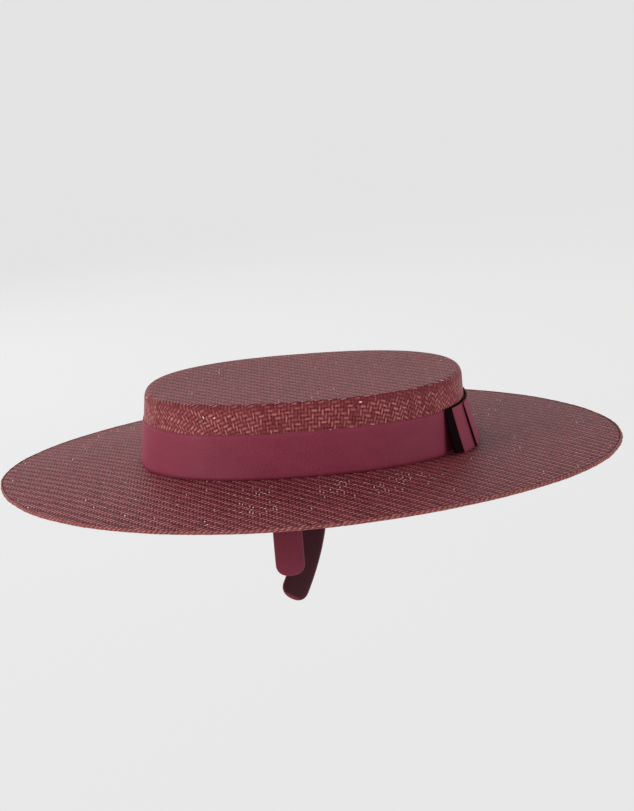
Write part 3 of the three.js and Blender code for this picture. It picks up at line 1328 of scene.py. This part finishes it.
@dataclass
class Headband:
    """A stiff band wound with ribbon: an arch under the crown's tip with two arms."""

    crown: CrownForm = field(default_factory=CrownForm)
    width: float = 16.5 * MM
    thickness: float = 3 * MM
    span: float = 123 * MM
    rise: float = 46 * MM
    arm: float = 75.5 * MM
    grip: float = 10 * MM
    tilt: float = math.radians(23.2)
    shift: float = 16 * MM
    tip_x: float = -13.6 * MM
    long_tip_x: float = -15.8 * MM
    sway: float = 19.2 * MM
    skew: float = 2.5
    bluntness: float = 2.4
    twist: float = math.radians(-20)
    tip_round: float = 0.44
    tip_end: float = 0.02 * MM
    tip_stations: int = 24
    tip_crowding: float = 1.6
    arm_points: int = 200
    arch_points: int = 400
    stations: int = 420
    sides: int = 44
    section_power: float = 3.4

    def line(self) -> tuple[Array, Array]:
        """The middle line.

        Each arm is a parabola drawn in towards its tip and the arch a half-ellipse, in one
        plane leant by tilt and hung under the crown's tip; along X the line sways by
        sway sin(pi s^skew), with s the share of its length.

        Returns:
            The points and the length gone at each, evenly spaced.
        """
        half = (self.span + self.thickness) / 2
        share = np.linspace(1, 0, self.arm_points, endpoint=False)
        arm_y, arm_z = half - self.grip * share**2, -self.arm * share
        turn = np.linspace(math.pi, 0, self.arch_points)
        y = np.concatenate([-arm_y, half * np.cos(turn), arm_y[::-1]])
        z = np.concatenate([arm_z, self.rise * np.sin(turn), arm_z[::-1]])
        c, s = math.cos(self.tilt), math.sin(self.tilt)
        y, z = y * c + z * s + self.shift, z * c - y * s
        ceiling = self.crown.height - self.crown.straw - GAP - self.crown.dipped(self.width / 2)
        z = z + ceiling - self.thickness / 2 - z.max()
        gone = np.concatenate([[0], np.cumsum(np.hypot(np.diff(y), np.diff(z)))])
        total = gone[-1]
        at = total * np.linspace(0, 1, self.stations)
        part = at / total
        x = self.tip_x + (self.long_tip_x - self.tip_x) * part
        x = x + self.sway * np.sin(math.pi * part**self.skew)
        y, z = np.interp(at, gone, y), np.interp(at, gone, z)
        return np.stack([x, y, z - self.crown.dipped(x)], axis=-1), at

    def length(self) -> float:
        """The band's length from tip to tip, in millimetres."""
        return float(self.line()[1][-1] / MM)

    def build(self) -> bpy.types.Object:
        """Makes the band: a flat rounded section along the line, closing to round tips.

        Within tip_round widths of a tip the width goes as (1 - (1 - r)^n)^(1 / n), with r the
        share gone and n the bluntness, and the thickness as its root. The section turns by
        twist times the cube of the share of the length gone.

        Returns:
            The piece.
        """
        middle, at = self.line()
        total = at[-1]
        tip = self.width * self.tip_round
        fine = np.linspace(0, 1, self.tip_stations) ** self.tip_crowding * tip
        at_new = np.concatenate([fine, at[(at > tip) & (at < total - tip)], total - fine[::-1]])
        middle = np.stack([np.interp(at_new, at, middle[:, k]) for k in range(3)], axis=-1)
        along = unit(np.gradient(middle, axis=0))
        across = unit(np.array([1.0, 0, 0]) - along * along[:, :1])
        turn = self.twist * (at_new / total) ** 3
        through = np.cross(along, across)
        across = across * np.cos(turn)[:, None] + through * np.sin(turn)[:, None]
        through = np.cross(along, across)
        from_tip = np.minimum(at_new, total - at_new)
        rest = np.clip((from_tip + self.tip_end) / tip, 0, 1)
        taper = (1 - (1 - rest) ** self.bluntness) ** (1 / self.bluntness)
        angle = full_turn(self.sides)
        half_width, half_thick = np.array(self.width / 2), np.array(self.thickness / 2)
        wide, thick = superoval(angle, half_width, half_thick, np.array(self.section_power))
        wide = taper[:, None] * wide[None, :]
        thick = np.sqrt(taper)[:, None] * thick[None, :]
        points = middle[:, None] + across[:, None] * wide[..., None] + through[:, None] * thick[..., None]
        around = arc_length(closed_round(points))
        around = around / around[:, -1:] * around[:, -1].max() / MM
        uv = grid(at_new[:, None] / MM, around)
        return outward(build_surface("headband_band", points, uv, False, True, end_rings(points)))


# The studio

@dataclass
class Studio:
    """Pale floor and surround, soft light, and the camera at the photo's angle.

    Each light has a place, a size in metres, a power in watts and whether gloss mirrors it.
    """

    elevation: float = 0.223
    roll: float = -0.087
    distance: float = 1.408
    focal_px: float = 2422.6
    centre_x_px: float = -10.9
    centre_y_px: float = 41.4
    image_px: tuple[int, int] = (634, 811)
    sensor: float = 36  # millimetres
    aim: tuple[float, float, float] = (0.86 * MM, -0.8 * MM, 0)
    floor_z: float = -0.32
    glow: float = 0.73
    surround_radius: float = 14
    surround_glow: float = 0.77
    sky: float = 0.34
    key: tuple[Vector, float, float, bool] = (Vector((-2.35, -1.2, 0.95)), 1.4, 67, True)
    fill: tuple[Vector, float, float, bool] = (Vector((2.45, -1.2, 0.35)), 1.6, 40, True)
    back: tuple[Vector, float, float, bool] = (Vector((-1.0, 2.2, 1.1)), 1.6, 46, False)

    def camera(self) -> bpy.types.Object:
        """Places the camera; its turn is built from its back, right and up directions.

        Returns:
            The camera.
        """
        e, roll = self.elevation, self.roll
        back = Vector((0, -math.cos(e), math.sin(e)))
        right, up = Vector((1, 0, 0)), Vector((0, math.sin(e), math.cos(e)))
        side = right * math.cos(roll) + up * math.sin(roll)
        top = -right * math.sin(roll) + up * math.cos(roll)
        data = bpy.data.cameras.new("camera")
        data.sensor_fit = "VERTICAL"
        data.sensor_width = data.sensor_height = self.sensor
        data.lens = self.focal_px * self.sensor / self.image_px[1]
        data.shift_x = -self.centre_x_px / self.image_px[1]
        data.shift_y = self.centre_y_px / self.image_px[1]
        data.clip_end = 30
        obj = bpy.data.objects.new("camera", data)
        turn = Matrix((side, top, back)).transposed()
        obj.matrix_world = Matrix.Translation(Vector(self.aim) + back * self.distance) @ turn.to_4x4()
        bpy.context.scene.collection.objects.link(obj)
        bpy.context.scene.camera = obj
        return obj

    def light(self, name: str, place: Vector, size: float, power: float, mirrored: bool) -> None:
        """A square area light turned to the hat.

        Args:
            name: its name.
            place: where it stands.
            size: its side, in metres.
            power: its power, in watts.
            mirrored: whether gloss mirrors it.
        """
        data = bpy.data.lights.new(name, "AREA")
        data.size = size
        data.energy = power
        obj = bpy.data.objects.new(name, data)
        obj.location = place
        obj.rotation_euler = (Vector((0, 0, 0)) - place).to_track_quat("-Z", "Y").to_euler()
        obj.visible_glossy = mirrored
        bpy.context.scene.collection.objects.link(obj)

    def glow_pale(
        self, obj: bpy.types.Object, name: str, scale: float, dark: Colour, light: Colour, glow: float
    ) -> None:
        """Gives a piece of the stage a dull, evenly glowing material with faint specks.

        Args:
            obj: the floor or the surround.
            name: the material's name.
            scale: the specks' scale per metre.
            dark: colour between the specks.
            light: the specks' colour.
            glow: strength of its white glow.
        """
        n = Nodes(name)
        speck = n.noise(n.coordinates("Object"), scale, 2.0)
        n.feed(n.mix(speck, dark, light), n.shader.inputs["Base Color"])
        n.shader.inputs["Roughness"].default_value = 1.0
        n.shader.inputs["Specular IOR Level"].default_value = 0.0
        n.shader.inputs["Emission Color"].default_value = (1, 1, 1, 1)
        n.shader.inputs["Emission Strength"].default_value = glow
        obj.data.materials.append(n.material)

    def floor(self) -> None:
        """A pale floor that curves up into a wall behind: y and z of a swept quarter-round."""
        bend = np.linspace(0, math.pi / 2, 24)
        radius, deep, high = 1.5, 3.2, 5.0
        y = np.concatenate([[-6.0], deep + radius * np.sin(bend), [deep + radius]])
        z = np.concatenate([[0.0], radius * (1 - np.cos(bend)), [high]]) + self.floor_z
        x = np.array([-9.0, 9.0])
        points = grid(x[None, :], y[:, None], z[:, None])
        obj = build_surface("floor", points, None, wrap_rows=False, wrap_columns=False)
        self.glow_pale(obj, "pale_floor", 3.0, (0.07, 0.07, 0.07, 1), (0.075, 0.075, 0.075, 1), self.glow)

    def surround(self) -> None:
        """A pale sphere round the whole stage, seen by the camera alone: no light comes from it.

        Its points are radius (cos v cos u, cos v sin u, sin v).
        """
        u = full_turn(64)[None, :]
        v = np.linspace(-1.57, 1.57, 32)[:, None]
        x, y = np.cos(v) * np.cos(u), np.cos(v) * np.sin(u)
        points = self.surround_radius * grid(x, y, np.sin(v))
        obj = build_surface("surround", points, None, wrap_rows=False, wrap_columns=True)
        dark, light = (0.02, 0.02, 0.02, 1), (0.025, 0.025, 0.025, 1)
        self.glow_pale(obj, "pale_surround", 0.3, dark, light, self.surround_glow)
        obj.visible_diffuse = obj.visible_glossy = obj.visible_shadow = False

    def build(self) -> None:
        """Sets up floor, surround, light and world."""
        self.floor()
        self.surround()
        self.light("key", *self.key)
        self.light("fill", *self.fill)
        self.light("back", *self.back)
        world = bpy.data.worlds.new("studio")
        world.use_nodes = True
        sky = world.node_tree.nodes["Background"]
        sky.inputs[0].default_value = (0.93, 0.94, 0.96, 1)
        sky.inputs[1].default_value = self.sky
        bpy.context.scene.world = world
        bpy.context.scene.view_settings.view_transform = "Standard"


def main() -> None:
    """Builds the studio and the hat, piece by piece."""
    logging.basicConfig(level=logging.INFO, format="%(name)s %(message)s")
    studio = Studio()
    studio.camera()
    studio.build()
    looks = make_finishes()
    dress(StrawCrown().build(), looks[Finish.STRAW], "straw", "crown")
    dress(StrawBrim().build(), looks[Finish.STRAW], "straw", "brim")
    dress(BrimEdge().build(), looks[Finish.STRAW_EDGE], "straw_edge", "brim_hem")
    dress(CrownRibbon().build(), looks[Finish.RIBBON], "ribbon", "hat_band")
    trim = RibbonTrim().build()
    # painted shade: the near-black backing also stands for the deep shade beside the trim's ends
    dress(trim["backing"], looks[Finish.FELT], "backing", "trim_backing")
    dress(trim["long"], looks[Finish.RIBBON], "ribbon", "trim_long_ribbon")
    dress(trim["short"], looks[Finish.RIBBON], "ribbon", "trim_short_ribbon")
    dress(Headband().build(), looks[Finish.COVER], "headband_cover", "headband")


if __name__ == "__main__":
    main()
